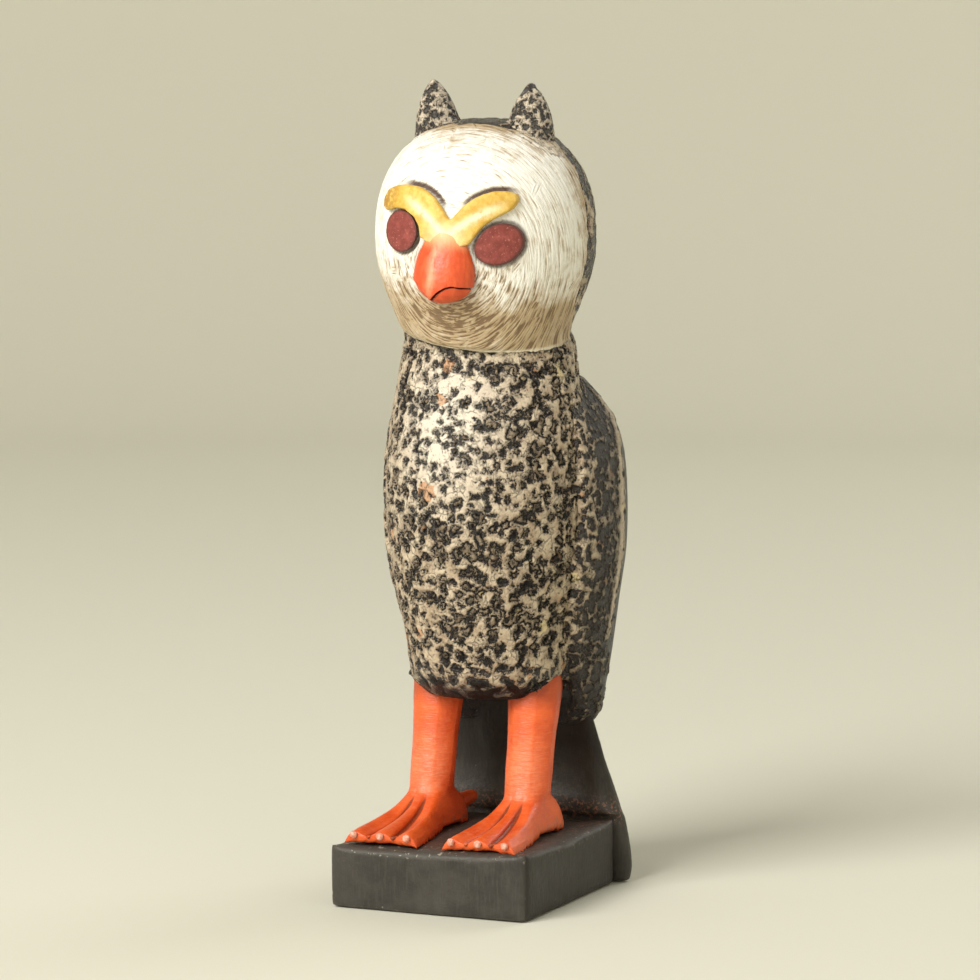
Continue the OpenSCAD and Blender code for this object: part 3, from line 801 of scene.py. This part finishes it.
def make_tail(black):
    """Fan of the tail, in one sweep from the table up between the wings."""
    piece = clay("tail_fan", ["tail", "tail_dowels"], 0.75, 0)
    trim(piece, (np.array([0, PLINTH_HIGH[1] - 3 * MM, 0]), np.array([0, -1, 0])))
    rub(piece, 40)
    points = places(piece)
    points[:, 2] += 9 * MM * ease(points[:, 2], 42 * MM, 60 * MM)
    place(piece, points)
    store(piece, "hollow", hollowness(piece, 6, 0.5))
    z = points[:, 2]
    store(piece, "scuff", bell(z, PLINTH_HIGH[2] + 2 * MM, 4 * MM) * ease(points[:, 1], 50 * MM, 44 * MM))
    # Painted shade, stronger higher up towards the body's underside
    store(piece, "shade_and_grime", 0.8 * ease(z, PLINTH_HIGH[2] + 6 * MM, PLINTH_HIGH[2] + 30 * MM))
    carve(piece, lambda g, where: g.noise(where, 12, 3.0, 0.5), 0.7)
    return hand_over(piece, ["tail"], black)


LEG_FLATS = 7  # facets that the knife left round a leg


def make_leg(side, orange):
    """Leg, foot and hind toe in one, whittled to soft flats."""
    nodes = [f"{side}_{part}" for part in ("leg", "foot", "hind_toe")]
    low, high = corners(nodes[0])
    piece = clay(f"{side}_leg_and_foot", nodes + [f"{side}_leg_dowel"], 0.4, 0)
    trim(piece, (high, UP), (PLINTH_HIGH + UP * 0.2 * MM, -UP))
    rub(piece, 14)
    soften(piece, bell(places(piece)[:, 2], FOOT_HIGH[2] + MM, 7 * MM), 420)
    points = places(piece)
    share = (points[:, 2] - low[2]) / (high[2] - low[2])
    axis_y = LEG_AXIS[0] + (LEG_AXIS[1] - LEG_AXIS[0]) * share
    from_axis = points[:, :2] - np.stack([np.full(len(points), (low[0] + high[0]) / 2), axis_y], axis=1)
    about = np.arctan2(from_axis[:, 1], from_axis[:, 0]) + math.pi / 2
    flat = math.tau / LEG_FLATS
    turn = np.mod(about + flat / 2, flat) - flat / 2
    shrink = 0.32 * (1 - math.cos(flat / 2) / np.cos(turn))
    on_leg = ease(points[:, 2], FOOT_HIGH[2] - 2 * MM, FOOT_HIGH[2] + 6 * MM)
    flare = 0.035 + 0.07 * ease(points[:, 2], LEG_LOW[2] + 18 * MM, BODY_LOW[2] + 2 * MM)
    flare -= 0.16 * ease(points[:, 2], BODY_LOW[2] + 2.5 * MM, BODY_LOW[2] + 7 * MM)
    points[:, :2] += from_axis * ((flare - shrink) * on_leg)[:, None]
    foot_level = PLINTH_HIGH[2]
    points[:, 2] -= 2.4 * MM * ease(points[:, 2], foot_level + 1.6 * MM, foot_level)
    points[:, 2] += 6 * MM * ease(points[:, 2], high[2] - 6 * MM, high[2])
    place(piece, points)
    rub(piece, 5)
    points = places(piece)
    grooves = toe_grooves(side, points, normals(piece))
    place(piece, points - normals(piece) * (1.2 * MM * grooves)[:, None])
    store(piece, "hollow", np.maximum(hollowness(piece, 10, 0.35), 0.75 * grooves))
    # Front of the lower shin: wear and a painted sheen, stored as worn
    shin_wear_and_sheen = bell(points[:, 2], FOOT_HIGH[2] + 9 * MM, 12 * MM) * ease(normals(piece)[:, 1], -0.3, -0.8)
    store(piece, "worn", 0.55 * shin_wear_and_sheen)
    low_down = ease(points[:, 2], foot_level + 7 * MM, foot_level)
    store(piece, "dust", 0.8 * low_down * ease(points[:, 1], -20 * MM, 16 * MM))
    # Painted shade where the leg rises under the body
    store(piece, "shade_and_grime", ease(points[:, 2], BODY_LOW[2] - 5 * MM, BODY_LOW[2] + 2 * MM) * 0.7)
    carve(piece, lambda g, where: g.noise(where, 5, 3.0, 0.6), 0.4)
    return hand_over(piece, nodes, orange)


def toe_grooves(side, points, ways):
    """1 along the two lines that part the toes, from the toes' ends back to the ankle."""
    claw_low, claw_high = corners(f"{side}_claws")
    low, high = corners(f"{side}_leg")
    pitch = (claw_high[0] - claw_low[0]) * 0.42
    ankle = np.array([(low[0] + high[0]) / 2, LEG_AXIS[0] - 7 * MM])
    grooves = np.zeros(len(points))
    for way in (-1, 1):
        tip = np.array([(claw_low[0] + claw_high[0]) / 2 + way * pitch / 2, claw_low[1]])
        line = ankle + [way * 2.2 * MM, 0] - tip
        length = np.linalg.norm(line)
        along = (points[:, :2] - tip) @ line / length
        apart = np.abs((points[:, :2] - tip) @ np.array([line[1], -line[0]]) / length)
        grooves = np.maximum(grooves, bell(apart, 0, 0.75 * MM) * ease(along, length, length * 0.75))
    return grooves * ease(ways[:, 2], 0.15, 0.5)


def find_leg_axis():
    """How far back the leg's middle line lies at its lower and at its upper end."""
    points = places(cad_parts["left_leg"])
    ends = [points[np.abs(points[:, 2] - z) < 0.1 * MM] for z in (LEG_LOW[2], LEG_HIGH[2])]
    return [(end[:, 1].min() + end[:, 1].max()) / 2 for end in ends]


LEG_AXIS = find_leg_axis()


def make_claws(side, pale):
    """The three small claws on a foot's toes."""
    node = f"{side}_claws"
    piece = clay(f"{side}_toe_claws", [node], 0.2, 6)
    carve(piece, lambda g, where: g.noise(where, 1.5, 2.0, 0.6), 0.25)
    return hand_over(piece, [node], pale)


def make_eye(side, maroon):
    """Raised round eye with a soft edge; the left one is drawn out a little towards the bill."""
    node = f"{side}_eye"
    piece = clay(f"{side}_round_eye", [node], 0.26, 10)
    points = places(piece)
    apart = points - EYE_PLACES[node]
    across, up = apart @ FACE_RIGHT, apart @ FACE_UP
    from_middle = np.hypot(across, up)
    # Painted shade round the eye's edge, where it sits in its groove
    store(piece, "shade_and_grime", 0.7 * ease(from_middle, 6.4 * MM, 7.5 * MM))
    if side == "left":
        corner = np.clip(np.cos(np.arctan2(up, across) + math.radians(160)), 0, 1) ** 4
        pull = 0.9 * MM * corner * ease(from_middle, 2 * MM, 7 * MM)
        points -= pull[:, None] * (0.94 * FACE_RIGHT + 0.34 * FACE_UP)
        points += (0.16 * across)[:, None] * FACE_UP - (0.05 * across)[:, None] * FACE_RIGHT
        place(piece, points)
    carve(piece, lambda g, where: g.noise(where, 3, 3.0, 0.6), 0.35)
    return hand_over(piece, [node], maroon)


def on_face(points):
    """Places across and up the face, from the middle between the eyes, in mm."""
    apart = points - FACE_MIDDLE
    return apart @ FACE_RIGHT / MM, apart @ FACE_UP / MM


def make_brow(yellow):
    """Wide V of the brow, rounded over, with a pale painted highlight along its ridge."""
    piece = clay("brow_ridge", ["brow"], 0.3, 40)
    points = places(piece)
    across, up = on_face(points)
    near_bill = ease(np.abs(across - 0.3), 9, 6) * ease(up, 2.5, -1)
    place(piece, points + normals(piece) * 0.35 * MM - (1.2 * MM * near_bill)[:, None] * FACE_UP)
    arm = np.abs(across - 0.8)
    lower = np.where(across < 0.8, 0.5 + 0.95 * arm - 0.018 * arm ** 2, 0.5 + 0.95 * arm - 0.012 * arm ** 2)
    # A painted highlight runs along the crest of each arm
    crest = bell(up, lower, 1.9) * ease(arm, 21, 12)
    store(piece, "ridge", 0.95 * crest)
    store(piece, "root", 0.75 * bell(across, 0.5, 6) * ease(up, 8, 0))
    # The arms darken towards their ends
    store(piece, "shade_and_grime", 0.7 * ease(arm, 19, 28))
    carve(piece, lambda g, where: g.noise(where, 4, 3.0, 0.6), 0.35)
    return hand_over(piece, ["brow"], yellow)


def make_bill(part, red):
    """Half of the bill, with a groove where the halves meet that painted shade darkens; the lower half is a
    set-in lip.
    """
    node = f"{part}_bill"
    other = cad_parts["lower_bill" if part == "upper" else "upper_bill"]
    piece = clay(f"{part}_bill_half", [node], 0.22, 8)
    far, _ = nearest(piece, [other], 3)
    points = places(piece)
    across, up = on_face(points)
    front = ease(points[:, 1], FACE_BACK - 34 * MM, FACE_BACK - 38 * MM)
    mouth = ease(far, 0.95 * MM, 0.2 * MM) * front
    raised = ease(up, -5, 0) * (1.1 if part == "upper" else 0) * MM
    if part == "lower":
        raised += 0.45 * MM
    place(piece, points - normals(piece) * (0.4 * MM * mouth)[:, None] + raised[:, None] * FACE_UP)
    # A painted highlight runs down the ridge of the bill
    store(piece, "ridge", 0.75 * bell(across, -1.6, 1.7) * ease(up, -24, -15) * ease(up, 0, -5))
    store(piece, "root", 0.8 * ease(up, -5, 0.5))
    # Painted shade in the mouth groove, weaker towards one side, and at the tip of the upper half
    tip = 0.7 * bell(up, -24, 1.6) * bell(across, -2, 4) if part == "upper" else np.zeros(len(up))
    unseen = ease(across, -1, -5)
    store(piece, "shade_and_grime", np.maximum(0.7 * mouth * (1 - 0.6 * unseen), tip))
    carve(piece, lambda g, where: g.noise(where, 5, 3.0, 0.6), 0.4)
    return hand_over(piece, [node], red)


def brush_places(points, towards):
    """Coordinates in which noise becomes strokes round an axis: across the strokes, then along them."""
    apart = points - HEAD_MIDDLE
    apart /= np.linalg.norm(apart, axis=1)[:, None]
    towards = np.array(towards) / np.linalg.norm(towards)
    away = np.arccos(np.clip(apart @ towards, -1, 1))
    right = np.cross(towards, [0, 0, 1.0])
    right /= np.linalg.norm(right)
    around = np.arctan2(apart @ np.cross(right, towards), apart @ right)
    return np.stack([away * HEAD_R, np.cos(around) * 2.6 * MM, np.sin(around) * 2.6 * MM], axis=1)


def make_face(carving, white, brow, eyes, bill):
    """White face: a shell on the front of the head whose border dips under the dark paint."""
    piece = carving.copy()
    piece.data = carving.data.copy()
    piece.name = "face_front"
    bpy.context.scene.collection.objects.link(piece)
    keep(piece, beyond_face(places(piece)) < 1.4 * MM)
    points = places(piece)
    beyond = beyond_face(points)
    sunk = 0.9 * MM * ease(beyond, -0.6 * MM, 1.2 * MM)
    across, up = on_face(points)
    far_brow, from_brow = nearest(piece, [brow], 3)
    above = ease(from_brow @ FACE_UP, 0.15 * far_brow, 0.5 * far_brow + 0.02 * MM)
    line = above * ease(far_brow, 2.3 * MM, 1.7 * MM) * ease(np.abs(across - 1.4), 2, 5)
    line *= ease(np.abs(across), 24, 17)
    far_eye, _ = nearest(piece, eyes, 3)
    ring = ease(far_eye, 1.6 * MM, 0.6 * MM)
    far_bill, _ = nearest(piece, bill, 6)
    beside_bill = ease(far_bill, 3 * MM, 0)
    groove = np.maximum(line, ring)
    place(piece, points - normals(piece) * (sunk + 0.8 * MM * groove)[:, None])
    # Painted shade in the grooves above the brow and round the eyes, and grime with painted shade beside the
    # bill
    store(piece, "outline", np.maximum(np.maximum(line * 0.95, ring * 0.7), 0.3 * beside_bill))
    cheeks = bell(up, -15, 9) * bell(np.abs(across) - 15, 0, 9)
    below = bell(up, -29, 7) * bell(across, 0, 16)
    under_eyes = bell(up, -10, 4) * bell(np.abs(across) - 20, 0, 8)
    store(piece, "smudge", np.clip(0.8 * cheeks + 0.9 * below + 0.5 * under_eyes, 0, 0.9))
    chin = ease(up, -9, -30)
    border = ease(beyond, -9 * MM, 0) * ease(up, -30, 20)
    crown = ease(up, 22, 40)
    # The face gets darker towards its sides
    darker_at_sides = 0.2 * ease(np.abs(across), 18, 36)
    store(piece, "dirt", np.clip(0.08 + 1.05 * chin + 0.65 * border + darker_at_sides + 0.5 * crown, 0, 1.1))
    # Painted highlight: a pale line along the face's lower edge
    rim = ease(over_joint(points), 1.3 * MM, 0.5 * MM) * ease(points[:, 1], FACE_BACK, FACE_BACK - 8 * MM)
    store(piece, "rim", 0.8 * rim)
    store(piece, "brush", brush_places(points, (0.06, -1, -0.22)))
    store(piece, "brush_across", brush_places(points, (-0.75, -1, 0.9)))
    thicken(piece, 3)
    carve(piece, lambda g, where: g.ramp(strokes(g), 0.6, 0.35), 0.2)
    return hand_over(piece, ["face_disc"], white)


def make_stage():
    """Round pale floor that curves up into a wall on all sides."""
    flat, bend, height, steps = 1.9, 0.8, 2.4, 96
    profile = [(0.02, 0), (0.7, 0), (1.4, 0)] + [
        (flat + bend * math.sin(a), bend - bend * math.cos(a)) for a in np.linspace(0, math.pi / 2, 24)
    ] + [(flat + bend, height)]
    shape = bmesh.new()
    rows = [[shape.verts.new((out * math.cos(a), out * math.sin(a), up))
             for a in np.linspace(0, math.tau, steps, endpoint=False)] for out, up in profile]
    for low, high in zip(rows, rows[1:]):
        for i in range(steps):
            shape.faces.new([low[i - 1], low[i], high[i], high[i - 1]])
    shape.faces.new(rows[0])
    bmesh.ops.recalc_face_normals(shape, faces=shape.faces[:])
    mesh = bpy.data.meshes.new("floor")
    shape.to_mesh(mesh)
    shape.free()
    mesh.polygons.foreach_set("use_smooth", [True] * len(mesh.polygons))
    floor = bpy.data.objects.new("floor", mesh)
    bpy.context.scene.collection.objects.link(floor)
    material = bpy.data.materials.new("pale_floor")
    material.use_nodes = True
    shader = material.node_tree.nodes["Principled BSDF"]
    shader.inputs["Base Color"].default_value = srgb(219, 216, 200)
    shader.inputs["Roughness"].default_value = 0.8
    mesh.materials.append(material)


def make_light(name, where, size, power, colour):
    """Soft square lamp that looks at the owl."""
    lamp = bpy.data.lights.new(name, "AREA")
    lamp.shape = "SQUARE"
    lamp.size = size
    lamp.energy = power
    lamp.color = colour
    holder = bpy.data.objects.new(name, lamp)
    bpy.context.scene.collection.objects.link(holder)
    holder.location = where
    aim = OWL_MIDDLE - Vector(where)
    holder.rotation_euler = aim.to_track_quat("-Z", "Y").to_euler()


def make_camera():
    """Looks at the owl from its front left, a little from above."""
    azimuth, pitch, distance = math.radians(24), math.radians(5.74), 1.6
    target = Vector((6.44 * MM, 0, 150.8 * MM))
    level = math.cos(pitch)
    back = Vector((math.sin(azimuth) * level, -math.cos(azimuth) * level, math.sin(pitch)))
    lens = bpy.data.cameras.new("camera")
    lens.sensor_width = 36
    lens.lens = 160.8
    camera = bpy.data.objects.new("camera", lens)
    bpy.context.scene.collection.objects.link(camera)
    camera.location = target + back * distance
    camera.rotation_euler = (-back).to_track_quat("-Z", "Y").to_euler()
    bpy.context.scene.camera = camera


def make_world():
    """Even, almost white light from all sides."""
    world = bpy.data.worlds.new("studio")
    world.use_nodes = True
    sky = world.node_tree.nodes["Background"]
    sky.inputs["Color"].default_value = srgb(236, 236, 228)
    sky.inputs["Strength"].default_value = 0.36
    bpy.context.scene.world = world


# ---------------------------------------------------------------- the scene

make_camera()
make_stage()
make_world()
make_light("window", (-0.65, -1.95, 1.55), 1.3, 73, (1.0, 0.985, 0.95))
make_light("fill", (1.9, -1.2, 0.9), 1.6, 3, (1.0, 0.98, 0.95))
make_light("back", (0.8, 1.8, 1.6), 1.2, 12, (0.97, 0.98, 1.0))
bpy.context.scene.view_settings.view_transform = "Standard"

feathers = paint("mottled", feather_paint)
black = paint("black", black_paint)
orange = paint("orange", orange_paint)
red = paint("bill", bill_paint)
yellow = paint("yellow", yellow_paint)
maroon = paint("maroon", maroon_paint)
wood = paint("wood", bare_wood)
claw = paint("claw", claw_paint)
white = paint("white", white_paint)

carving = make_carving()
torso = make_torso(carving, feathers)
head = make_head(carving, feathers)
make_plinth(black)
make_tail(black)
for side in ("right", "left"):
    make_wing(side, torso, feathers)
    make_leg(side, orange)
    make_claws(side, claw)
    make_ear(side, head, feathers)
eyes = [make_eye(side, maroon) for side in ("right", "left")]
brow = make_brow(yellow)
bill = [make_bill(part, red) for part in ("upper", "lower")]
make_face(carving, white, brow, eyes, bill)
bpy.data.objects.remove(carving)
for node in ("neck_dowel", "right_leg_dowel", "left_leg_dowel", "tail_dowels", "wing_dowels"):
    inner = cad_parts[node]
    inner.data.materials.clear()
    inner.data.materials.append(wood)
